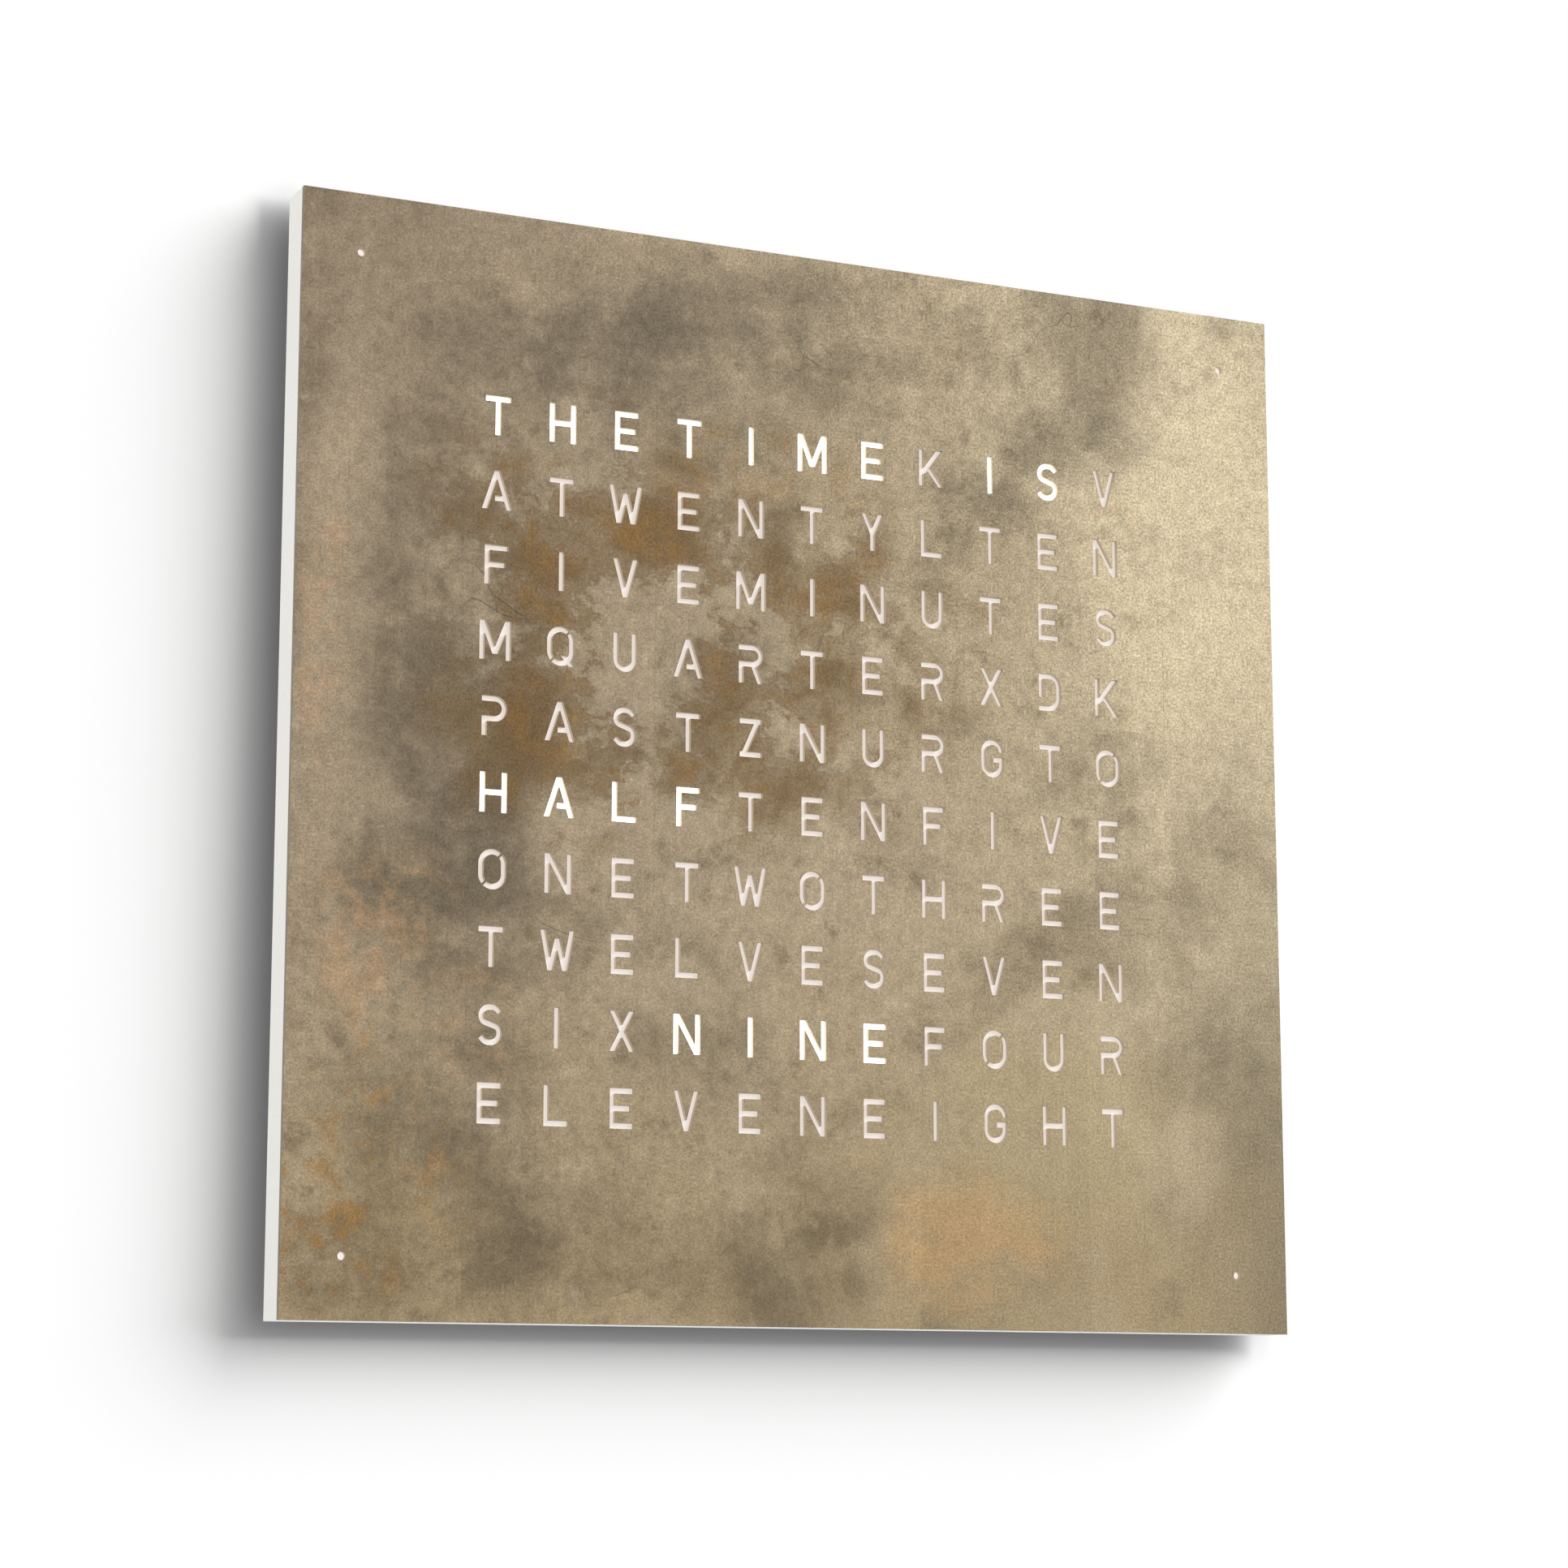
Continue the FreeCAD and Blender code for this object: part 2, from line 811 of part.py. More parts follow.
def button_switches():
    switches = []
    z = (controller_bottom, controller_bottom + switch_height)
    depth = switch_entry + button_travel + switch_end_gap
    for x in button_places():
        limits = (x - switch_width / 2, x + switch_width / 2)
        body = box(limits, (controller_back, controller_back + switch_depth), z)
        radius = button_stem_radius + button_stem_gap
        switches.append(body.cut(Part.makeCylinder(radius, depth, point(x, button_y, z[0]))))
    return switches


# Radio antenna

def along_x(radius, start, length):
    return Part.makeCylinder(radius, length, point(start, antenna_y, antenna_z), point(1, 0, 0))


def antenna_rod():
    return along_x(antenna_radius, antenna_left, antenna_length)


def antenna_coil():
    start = antenna_left + (antenna_length - coil_length) / 2
    outside = along_x(antenna_radius + coil_thickness, start, coil_length)
    return outside.cut(along_x(antenna_radius, start, coil_length))


def antenna_holders():
    holders = []
    back = antenna_y + antenna_radius + holder_wall
    for start in (antenna_left + running_gap, antenna_left + antenna_length - holder_width):
        z = (antenna_z - holder_height / 2, antenna_z + holder_height / 2)
        body = box((start, start + holder_width), (core_back, back), z)
        holders.append(body.cut(along_x(antenna_radius, start, holder_width)))
    return holders


# Power inlet

def inlet_cup():
    """A tray, open to the back, in which the low-voltage plug lies beside the wall."""
    x = (inlet_x - cup_width / 2, inlet_x + cup_width / 2)
    outer_x = (x[0] - cup_wall, x[1] + cup_wall)
    shape = box(outer_x, (core_back, panel_back), (cup_bottom - cup_wall, cup_top + cup_wall))
    room = box(x, (core_back + cup_wall, panel_back), (cup_bottom, cup_top))
    mouth = Part.makeCylinder(jack_bore_radius, cup_wall, point(inlet_x, jack_y, cup_top))
    return shape.cut([room, mouth])


def power_jack():
    low = cup_top + cup_wall
    x = (inlet_x - jack_width / 2, inlet_x + jack_width / 2)
    shape = box(x, (core_back, core_back + jack_depth), (low, jack_top))
    bore = Part.makeCylinder(jack_bore_radius, jack_bore_length, point(inlet_x, jack_y, low))
    pin_length = jack_bore_length - jack_pin_recess
    pin_start = point(inlet_x, jack_y, low + jack_pin_recess)
    return shape.cut(bore).fuse(Part.makeCylinder(jack_pin_radius, pin_length, pin_start))


# Wires

def flat_wire(places):
    return wire_tube(wire_radius, [point(x, wire_y, z) for x, z in places])


def power_socket_z():
    return controller_bottom + 0.52 * controller_height


def antenna_socket_z():
    return controller_bottom + 0.75 * controller_height


def corner_socket_z():
    return controller_bottom + 0.25 * controller_height


def power_wire():
    drop = controller_left - 2 * drop_gap
    z = power_socket_z()
    return flat_wire([(inlet_x, jack_top), (inlet_x, power_lane), (drop, power_lane), (drop, z),
                      (controller_left, z)])


def antenna_wire():
    start = antenna_left + antenna_length
    rise = (start + inlet_x - cup_width) / 2
    drop = controller_left - drop_gap
    z = antenna_socket_z()
    low = antenna_z - holder_height / 4
    return flat_wire([(start, low), (rise, low), (rise, antenna_lane), (drop, antenna_lane),
                      (drop, z), (controller_left, z)])


def corner_wires():
    edge = dot_place - corner_board_side / 2
    lane = cup_bottom - cup_wall - 2 * wire_radius
    start = -dot_place + corner_board_side / 2
    drop = controller_left - 2 * drop_gap
    bend = start + 1.5 * side_step
    z = corner_socket_z()
    low = -dot_place - corner_board_side / 4
    return [
        flat_wire([(-dot_place, edge), (-dot_place, -edge)]),
        flat_wire([(dot_place, edge), (dot_place, -edge)]),
        flat_wire([(start, low), (bend, low), (bend + side_step, lane), (drop, lane), (drop, z),
                   (controller_left, z)]),
        flat_wire([(controller_right, corner_wire_rise - dot_place),
                   (edge, corner_wire_rise - dot_place)]),
    ]


# Back of the clock

def hanger_places():
    return [(-hang_spacing / 2, hang_rise), (hang_spacing / 2, hang_rise)]


def window_outlines():
    """Openings in the rear panel for the hangers and for the inlet's cup."""
    outlines = [
        rectangle(x, z + keyhole_drop / 2, plate_width + 2 * running_gap,
                  plate_height + 2 * running_gap)
        for x, z in hanger_places()
    ]
    width = cup_width + 2 * cup_wall + 2 * running_gap
    height = cup_length + 2 * cup_wall + 2 * running_gap
    outlines.append(rectangle(inlet_x, (cup_bottom + cup_top) / 2, width, height))
    return outlines


def rear_panel():
    edge = 2 * (rabbet_edge - running_gap)
    radius = panel_screw_shank + running_gap
    holes = [circle(radius, x, z) for x, z in panel_screw_places()] + window_outlines()
    return sheet(rectangle(0, 0, edge, edge), holes, panel_front, panel_back)


def rear_panel_screws():
    front = panel_front - panel_screw_length
    height = wall_gap - screw_head_drop
    return [
        screw(x, z, front, panel_back, panel_screw_shank, panel_screw_head, height)
        for x, z in panel_screw_places()
    ]


def keyhole(x, z, front, back, margin):
    """A round entry with a slot above it, widened by a margin."""
    entry = disc(keyhole_entry_radius + margin, x, z, front, back)
    slot_end = disc(keyhole_slot_radius + margin, x, z + keyhole_drop, front, back)
    width = 2 * (keyhole_slot_radius + margin)
    slot = block(x, z + keyhole_drop / 2, width, keyhole_drop, front, back)
    return entry.fuse([slot, slot_end]).removeSplitter()


def hanger_screw_places():
    return [
        (x + shift, z + keyhole_drop / 2)
        for x, z in hanger_places() for shift in (-hanger_screw_offset, hanger_screw_offset)
    ]


def keyhole_plates():
    plates = []
    for x, z in hanger_places():
        plate = block(x, z + keyhole_drop / 2, plate_width, plate_height, -plate_thickness, 0)
        cuts = [keyhole(x, z, -plate_thickness, 0, 0)]
        for hole_x, hole_z in hanger_screw_places():
            cuts.append(disc(board_screw_shank + pilot_gap, hole_x, hole_z, -plate_thickness, 0))
            cuts.append(disc(board_screw_head + pilot_gap, hole_x, hole_z,
                             -board_screw_head_height - screw_head_drop, 0))
        plates.append(plate.cut(cuts))
    return plates


def hanger_blocks():
    blocks = []
    for x, z in hanger_places():
        shape = block(x, z + keyhole_drop / 2, plate_width, plate_height, core_back,
                      -plate_thickness)
        pocket_front = -plate_thickness - keyhole_pocket_depth
        width = 2 * (keyhole_entry_radius + keyhole_pocket_margin)
        height = keyhole_drop + width
        cuts = [block(x, z + keyhole_drop / 2, width, height, pocket_front, -plate_thickness)]
        for hole_x, hole_z in hanger_screw_places():
            cuts.append(disc(board_screw_shank + pilot_gap, hole_x, hole_z, hanger_screw_front(),
                             -plate_thickness))
        blocks.append(shape.cut(cuts))
    return blocks


def hanger_screw_front():
    return -plate_thickness - board_screw_length


def hanger_screws():
    back = -board_screw_head_height - screw_head_drop
    return [
        screw(x, z, hanger_screw_front(), back, board_screw_shank, board_screw_head,
              board_screw_head_height)
        for x, z in hanger_screw_places()
    ]


def wall_bumpers():
    place = half - bumper_inset
    return [disc(bumper_radius, x, -place, panel_back, 0) for x in (-place, place)]


os.makedirs("parts", exist_ok=True)
save("front_cover", front_cover())
save("cover_magnets", cover_magnets())
save("rail_bottom", bottom_rail())
save("rail_left", rail(90))
save("rail_top", rail(180))
save("rail_right", rail(270))
save("diffuser_sheet", diffuser_sheet())
save("core_board", core_board())
save("body_magnets", body_magnets())
for row_index in range(rows):
    save("lamp_board_%02d" % (row_index + 1), lamp_row_board(row_index))
save("letter_lamps", letter_lamps())
save("corner_boards", corner_boards())
save("corner_lamps", [lamp(x, z) for x, z in corner_places(dot_place)])
save("board_screws", board_screws())
save("row_connectors", row_connectors())
save("bus_board", bus_board())
save("bus_header", bus_header())
save("controller_board", controller_board())
save("controller_standoffs", controller_standoffs())
save("controller_screws", controller_screws())
save("controller_chips", controller_chips())
save("smoothing_capacitors", smoothing_capacitors())
save("clock_crystal", clock_crystal())
save("coin_cell", coin_cell())
save("coin_cell_holder", coin_cell_holder())
save("light_sensor", light_sensor())
save("light_window", light_window())
save("wire_sockets", wire_sockets())
for button_index, button_x in enumerate(button_places()):
    save("push_button_%d" % (button_index + 1), push_button(button_x))
save("button_switches", button_switches())
save("antenna_rod", antenna_rod())
save("antenna_coil", antenna_coil())
save("antenna_holders", antenna_holders())
save("inlet_cup", inlet_cup())
save("power_jack", power_jack())
save("power_wire", power_wire())
save("antenna_wire", antenna_wire())
save("corner_wires", corner_wires())
save("rear_panel", rear_panel())
save("rear_panel_screws", rear_panel_screws())
save("keyhole_plates", keyhole_plates())
save("hanger_blocks", hanger_blocks())
save("hanger_screws", hanger_screws())
save("wall_bumpers", wall_bumpers())
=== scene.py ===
import json
import math

import bpy
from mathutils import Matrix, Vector


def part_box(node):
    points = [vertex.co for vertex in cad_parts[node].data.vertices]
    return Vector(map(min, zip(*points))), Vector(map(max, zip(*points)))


# A flat square word clock on a white wall. The face is a stencil-cut plate in stained metal leaf,
# the body is white lacquer, and the letters of the time are lit from behind.
# Metres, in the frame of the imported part: +Z up, the face looks along -Y.

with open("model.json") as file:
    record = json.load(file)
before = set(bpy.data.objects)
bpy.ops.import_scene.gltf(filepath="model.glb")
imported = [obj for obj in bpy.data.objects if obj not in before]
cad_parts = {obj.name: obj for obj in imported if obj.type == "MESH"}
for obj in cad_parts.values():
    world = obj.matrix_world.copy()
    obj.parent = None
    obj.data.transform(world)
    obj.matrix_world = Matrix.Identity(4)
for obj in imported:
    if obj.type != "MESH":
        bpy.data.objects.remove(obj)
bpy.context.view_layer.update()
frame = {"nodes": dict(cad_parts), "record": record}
nodes = frame["nodes"]

# Driving sizes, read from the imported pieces
cover_low, cover_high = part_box("front_cover")
face_y = cover_low[1]
side = cover_high[0] - cover_low[0]
half = side / 2
centre_x = (cover_high[0] + cover_low[0]) / 2
centre_z = (cover_high[2] + cover_low[2]) / 2

# Sizes that the pieces don't give. The leaf's offset is in strips, and the plate's edge in half sides.
face_margin = 0.070
columns = 11
rows = 10
column_pitch = (side - 2 * face_margin) / columns
row_pitch = (side - 2 * face_margin) / rows
cell_half = 0.012
cell_edge = 0.0012
dot_place = 0.2004
dot_glow_radius = 0.007
dot_edge = 0.002
leaf_width = 0.080
leaf_offset = 0.88
plate_edge = 0.99
lamp_face_depth = 0.0077
coil_wire_pitch = 0.0007

# Letters that are lit: row, first column, last column, counted from zero
lit_runs = ((0, 0, 6), (0, 8, 9), (5, 0, 3), (8, 3, 6))

# Marks in the leaf, and two painted highlights: across and up from the middle of the face, half width, half
# height
pale_streak = (-0.205, 0.060, 0.018, 0.110)
brown_stain = (-0.060, 0.062, 0.115, 0.082)
ochre_band = (-0.020, 0.130, 0.050, 0.022)
orange_blush = (0.072, -0.190, 0.042, 0.030)
# Painted highlights: pale where the light falls on the leaf, not marks in it
upper_painted_highlight = (0.195, 0.120, 0.060, 0.095)
lower_painted_highlight = (0.115, -0.140, 0.080, 0.040)
rust_patch = (-0.200, -0.165, 0.045, 0.050)
small_blushes = ((-0.185, -0.080, 0.026, 0.040), (-0.150, -0.115, 0.022, 0.026),
                 (-0.212, 0.045, 0.012, 0.050), (0.150, 0.125, 0.020, 0.012))
smudges = ((-0.100, -0.188, 0.030, 0.024), (-0.020, -0.200, 0.055, 0.022),
           (-0.195, -0.205, 0.030, 0.020), (0.010, -0.180, 0.024, 0.016))

# Grey clouds in the leaf, each with its strength after its place and size
grey_clouds = ((-0.165, 0.030, 0.042, 0.105, 0.58), (-0.095, 0.168, 0.070, 0.030, 0.66),
               (-0.160, -0.060, 0.042, 0.045, 0.50), (0.125, 0.160, 0.045, 0.020, 0.46),
               (0.075, 0.130, 0.026, 0.016, 0.50), (0.000, 0.195, 0.110, 0.024, 0.50),
               (0.200, -0.050, 0.030, 0.110, 0.28), (0.150, -0.055, 0.045, 0.025, 0.24))

# Camera, worked out from the plate's corners in the picture
camera_offset = Vector((-0.65967, -1.39142, -0.27272))
camera_turn = 24.92
camera_rise = 9.98
camera_lens = 86.56
camera_sensor = 36
camera_clip = 30

# Light. Places are offsets from the middle of the face. A fill has a name, place, size and power.
world_fill = 0.36
letter_glow = 2.2
# Painted light: the whole sheet glows faintly, for stray light inside and to lift the unlit letters out of
# their slots' shade
painted_sheet_glow = 0.80
dot_share = 0.2
key_place = (1.30, -1.10, 0.85)
key_strength = 3.4
key_angle = 55
fill_lights = (("left_fill", (-2.2, 0.02, 0.1), 0.3, 22),
               ("low_fill", (0.2, 0.02, -2.2), 0.4, 12),
               ("back_fill", (0.5, 2.7, 1.2), 1.6, 42))

# Wall, floor and flag
wall_gap = 0.010
wall_glow = 0.06
stage_reach = 6.0
floor_drop = 0.9
flag_width = 0.005
flag_gap = 0.001


def linear(red, green, blue):
    """A colour given as it looks on screen, from 0 to 255, as linear light."""
    def channel(value):
        value = value / 255
        return value / 12.92 if value <= 0.04045 else ((value + 0.055) / 1.055) ** 2.4
    return (channel(red), channel(green), channel(blue), 1.0)


def shade(tone, amount):
    """A darker shade of a linear colour."""
    return tuple(amount * value for value in tone[:3]) + (1.0,)


class Shader:
    """A material's nodes. Most methods add a node and return its output."""

    def __init__(self, name):
        self.material = bpy.data.materials.new(name)
        self.material.use_nodes = True
        self.tree = self.material.node_tree
        self.tree.nodes.clear()
        self.output = self.tree.nodes.new("ShaderNodeOutputMaterial")
        self.surface = self.tree.nodes.new("ShaderNodeBsdfPrincipled")
        self.tree.links.new(self.surface.outputs[0], self.output.inputs["Surface"])
        self.place = self.tree.nodes.new("ShaderNodeTexCoord").outputs["Object"]

    def put(self, socket, value):
        """Links another node's output to a socket, or sets a constant on it."""
        if isinstance(value, bpy.types.NodeSocket):
            self.tree.links.new(value, socket)
        else:
            socket.default_value = value

    def set(self, **values):
        """Sets the surface's inputs by name, with an underscore for each space."""
        for name, value in values.items():
            self.put(self.surface.inputs[name.replace("_", " ")], value)

    def axes(self):
        node = self.tree.nodes.new("ShaderNodeSeparateXYZ")
        self.put(node.inputs[0], self.place)
        return node.outputs

    def stretched(self, across, deep, up):
        """The place with each axis scaled, so that a pattern runs along one of them."""
        node = self.tree.nodes.new("ShaderNodeMapping")
        self.put(node.inputs["Vector"], self.place)
        self.put(node.inputs["Scale"], (across, deep, up))
        return node.outputs[0]

    def noise(self, scale, detail=2.0, roughness=0.5, distortion=0.0, place=None):
        node = self.tree.nodes.new("ShaderNodeTexNoise")
        self.put(node.inputs["Vector"], place or self.place)
        for name, value in (("Scale", scale), ("Detail", detail), ("Roughness", roughness),
                            ("Distortion", distortion)):
            self.put(node.inputs[name], value)
        return node.outputs["Fac"]

    def cells(self, scale, feature, place):
        node = self.tree.nodes.new("ShaderNodeTexVoronoi")
        node.feature = feature
        self.put(node.inputs["Vector"], place)
        self.put(node.inputs["Scale"], scale)
        return node.outputs["Distance"]

    def math(self, kind, first, second=0.0, clamp=False):
        node = self.tree.nodes.new("ShaderNodeMath")
        node.operation = kind
        node.use_clamp = clamp
        self.put(node.inputs[0], first)
        self.put(node.inputs[1], second)
        return node.outputs[0]

    def near(self, value, target, reach):
        """One where a value is within reach of a target, otherwise zero."""
        node = self.tree.nodes.new("ShaderNodeMath")
        node.operation = "COMPARE"
        for index, number in enumerate((value, target, reach)):
            self.put(node.inputs[index], number)
        return node.outputs[0]

    def ramp(self, value, *stops):
        """A colour ramp. A stop is a place and a colour, or a place and a grey level."""
        node = self.tree.nodes.new("ShaderNodeValToRGB")
        elements = node.color_ramp.elements
        while len(elements) < len(stops):
            elements.new(0.5)
        for element, (place, colour) in zip(elements, stops):
            element.position = place
            element.color = colour if isinstance(colour, tuple) else (colour,) * 3 + (1.0,)
        self.put(node.inputs[0], value)
        return node.outputs["Color"]

    def span(self, value, low, high, start=0.0, end=1.0):
        """A value mapped smoothly from one range to another."""
        node = self.tree.nodes.new("ShaderNodeMapRange")
        node.interpolation_type = "SMOOTHSTEP"
        for index, number in enumerate((value, low, high, start, end)):
            self.put(node.inputs[index], number)
        return node.outputs["Result"]

    def mix(self, amount, first, second, kind="MIX"):
        node = self.tree.nodes.new("ShaderNodeMix")
        node.data_type = "RGBA"
        node.blend_type = kind
        self.put(node.inputs["Factor"], amount)
        self.put(node.inputs[6], first)
        self.put(node.inputs[7], second)
        return node.outputs[2]

    def bump(self, height, distance, strength=1.0, normal=None):
        node = self.tree.nodes.new("ShaderNodeBump")
        self.put(node.inputs["Height"], height)
        self.put(node.inputs["Distance"], distance)
        self.put(node.inputs["Strength"], strength)
        if normal is not None:
            self.put(node.inputs["Normal"], normal)
        return node.outputs[0]

    def soft_edges(self, radius):
        node = self.tree.nodes.new("ShaderNodeBevel")
        node.samples = 4
        self.put(node.inputs["Radius"], radius)
        return node.outputs[0]

    def facing_front(self):
        """One where a surface faces the front, otherwise zero."""
        node = self.tree.nodes.new("ShaderNodeNewGeometry")
        parts = self.tree.nodes.new("ShaderNodeSeparateXYZ")
        self.put(parts.inputs[0], node.outputs["True Normal"])
        return self.math("LESS_THAN", parts.outputs["Y"], -0.7)


# Leaf-finished face

class Leaf(Shader):
    """The face's finish: a ground under many thin tints, broken up by shared patterns."""

    def __init__(self):
        super().__init__("stained_leaf")
        self.position = self.axes()
        self.x = self.math("DIVIDE", self.math("SUBTRACT", self.position["X"], centre_x), half)
        self.z = self.math("DIVIDE", self.math("SUBTRACT", self.position["Z"], centre_z), half)
        self.ragged = self.math("SUBTRACT", self.noise(11, 7, 0.66, 0.8), 0.5)
        self.cloud = self.noise(10.5, 7, 0.60, 0.25)
        self.veil = self.noise(22, 8, 0.68, 0.15, self.stretched(0.85, 1, 1.15))
        self.mottle = self.noise(52, 7, 0.72, 0.1)
        self.pitted = self.noise(190, 4, 0.75)
        self.grain = self.noise(950, 2, 0.7)
        self.colour = None
        # The patina is rough, and fades to a smoother leaf at the lower right
        smooth = self.span(self.math("SUBTRACT", self.x, self.z), 0.3, 1.5)
        self.patina = self.math("SUBTRACT", 1.0, self.math("MULTIPLY", smooth, 0.72))

    def patch(self, across, up, width, height, soft=0.7):
        """A soft blot, by its middle and its half width and height, with a ragged edge."""
        x = self.math("DIVIDE", self.math("SUBTRACT", self.position["X"], centre_x + across), width)
        z = self.math("DIVIDE", self.math("SUBTRACT", self.position["Z"], centre_z + up), height)
        distance = self.math("ADD", self.math("MULTIPLY", x, x), self.math("MULTIPLY", z, z))
        distance = self.math("ADD", distance, self.math("MULTIPLY", self.ragged, 4.0))
        return self.span(distance, 0.8 + soft, 0.8 - soft)

    def broken(self, amount, pattern, low, high):
        """An amount that comes and goes with a pattern."""
        return self.math("MULTIPLY", amount, self.span(pattern, low, high))

    def tint(self, amount, strength, tone):
        """Lays a thin tone over the colour so far."""
        self.colour = self.mix(self.math("MULTIPLY", amount, strength), self.colour, linear(*tone))

    def ground(self):
        """Warms towards the right, lightens that way as painted light, and turns golden low down."""
        slope = self.math("MULTIPLY", self.x, self.math("ADD", self.math("MULTIPLY", self.z, 0.60), 1.0))
        slope = self.math("ADD", slope, self.math("MULTIPLY", self.ragged, 1.6))
        # Painted light: the ground grows lighter towards the right, as if lit from that side
        painted_light_toward_right = self.span(slope, -1.5, 1.25)
        self.colour = self.ramp(painted_light_toward_right, (0.0, linear(135, 120, 99)), (0.35, linear(150, 135, 111)),
                                (0.55, linear(155, 140, 115)), (0.78, linear(164, 149, 121)),
                                (1.0, linear(184, 170, 141)))
        height = self.math("ADD", self.z, self.math("MULTIPLY", self.ragged, 1.4))
        self.tint(self.span(height, -0.2, -1.1), 0.60, (148, 128, 92))

    def patterns(self):
        """Darker and lighter tones from the coarse pattern to the fine one, and a pale streak."""
        self.tint(self.span(self.cloud, 0.47, 0.66), 0.70, (100, 88, 69))
        self.tint(self.span(self.cloud, 0.46, 0.30), 0.45, (168, 152, 126))
        for pattern, low, high, strength, tone in ((self.veil, 0.52, 0.72, 0.42, (166, 149, 123)),
                                                   (self.veil, 0.47, 0.30, 0.40, (96, 83, 64)),
                                                   (self.mottle, 0.47, 0.30, 0.55, (90, 77, 58)),
                                                   (self.mottle, 0.54, 0.70, 0.45, (176, 160, 134))):
            self.tint(self.broken(self.patina, pattern, low, high), strength, tone)
        self.tint(self.patch(*pale_streak, 0.8), 0.50, (166, 149, 124))

    def clouds(self):
        """Grey clouds on the left, along the top and at the right edge."""
        for *place, strength in grey_clouds:
            self.tint(self.broken(self.patch(*place), self.veil, 0.66, 0.42), strength, (92, 82, 66))

    def stains(self):
        """Brown and ochre stains round the middle left, with tide lines."""
        stain = self.patch(*brown_stain, 0.8)
        brown = self.broken(stain, self.veil, 0.58, 0.40)
        self.tint(brown, 0.78, (104, 78, 42))
        self.tint(self.broken(brown, self.mottle, 0.48, 0.62), 0.50, (132, 98, 46))
        tide = self.math("ABSOLUTE", self.math("SUBTRACT", self.veil, 0.500))
        self.tint(self.broken(stain, tide, 0.020, 0.004), 0.35, (88, 67, 42))
        self.tint(self.broken(brown, self.pitted, 0.50, 0.62), 0.35, (76, 58, 38))
        self.tint(self.broken(self.patch(*ochre_band), self.mottle, 0.44, 0.60), 0.40, (134, 102, 58))

    def blushes(self):
        """Warm blushes, the largest low on the right."""
        self.tint(self.broken(self.patch(*orange_blush, 0.8), self.veil, 0.34, 0.56), 0.50, (188, 150, 100))
        for place in small_blushes:
            self.tint(self.broken(self.patch(*place, 0.8), self.mottle, 0.44, 0.58), 0.36, (176, 138, 100))

    def painted_highlights(self):
        """Painted highlights: pale tones at the upper right and low on the right, where the light falls."""
        self.tint(self.patch(*upper_painted_highlight, 0.8), 0.62, (196, 181, 150))
        self.tint(self.patch(*lower_painted_highlight, 0.8), 0.35, (170, 154, 118))

    def low_marks(self):
        """Smudges low down, rust at the lower left, and a darker rim at the lower right."""
        for place in smudges:
            self.tint(self.broken(self.patch(*place), self.mottle, 0.34, 0.58), 0.46, (90, 79, 60))
        self.tint(self.broken(self.patch(*rust_patch, 0.8), self.mottle, 0.50, 0.62), 0.70, (142, 106, 54))
        rim = self.math("MULTIPLY", self.span(self.x, 0.70, 1.05), self.span(self.z, 0.1, -0.9))
        self.tint(rim, 0.70, (118, 108, 88))

    def seams(self):
        """A change of tone from strip to strip of leaf, and hairline joins that come and go."""
        wander = self.math("MULTIPLY", self.noise(9, 1), 0.0016)
        across = self.math("ADD", self.position["X"], wander)
        strip = self.math("ADD", self.math("DIVIDE", across, leaf_width), leaf_offset)
        near = self.math("ABSOLUTE", self.math("SUBTRACT", self.math("FRACT", strip), 0.5))
        fade = self.span(self.noise(7, 2, place=self.stretched(0.6, 1, 1)), 0.45, 0.62)
        seam = self.math("MULTIPLY", self.span(near, 0.498, 0.4995), fade)
        number = self.math("FLOOR", self.math("SUBTRACT", strip, 0.5))
        tone = self.math("SINE", self.math("MULTIPLY", number, 2.3))
        strength = self.span(self.z, -0.45, -0.85, 0.04, 0.10)
        self.tint(self.span(tone, -0.2, 0.9), strength, (92, 78, 54))
        self.tint(seam, 0.40, (84, 73, 56))

    def cracks(self):
        """A few short cracks."""
        line = self.math("ABSOLUTE", self.math("SUBTRACT", self.noise(6, 3, 0.6, 1.5), 0.5))
        crack = self.broken(self.span(line, 0.0022, 0.0006), self.noise(13, 2), 0.60, 0.68)
        self.tint(crack, 0.55, (70, 58, 44))

    def grain_and_painted_glints(self):
        """Fine grain over pits and brushed lines; the grain grows stronger towards the upper right as
        painted glints.
        """
        # Painted light: the grain's glints grow towards the upper right, where the light falls
        painted_glint_zone = self.span(self.math("ADD", self.x, self.math("MULTIPLY", self.z, 0.7)), -0.4, 1.3)
        fine = self.math("ADD", self.math("MULTIPLY", self.grain, 0.6),
                         self.math("MULTIPLY", self.noise(2100, 1, 0.6), 0.4))
        brushed = self.noise(60, 3, 0.6, 0.0, self.stretched(8.0, 1, 0.5))
        speckle = self.ramp(fine, (0.36, 0.24), (0.50, 0.50), (0.64, 0.80))
        pits = self.ramp(self.pitted, (0.34, 0.34), (0.66, 0.64))
        lines = self.ramp(brushed, (0.30, 0.40), (0.70, 0.60))
        grain_and_painted_glint_strength = self.math("ADD", self.math("MULTIPLY", painted_glint_zone, 0.30), 0.52)
        for strength, pattern in ((grain_and_painted_glint_strength, speckle), (self.math("MULTIPLY", self.patina, 0.48), pits),
                                  (0.15, lines)):
            self.colour = self.mix(strength, self.colour, pattern, "OVERLAY")

    def cut_edges(self):
        """The slot walls are clean cut steel, painted pale as if lit by the sheet behind them and not
        shaded. The plate's outer edges are dull.
        """
        cut = self.noise(90, 3, 0.6, 0, self.stretched(1, 8, 1))
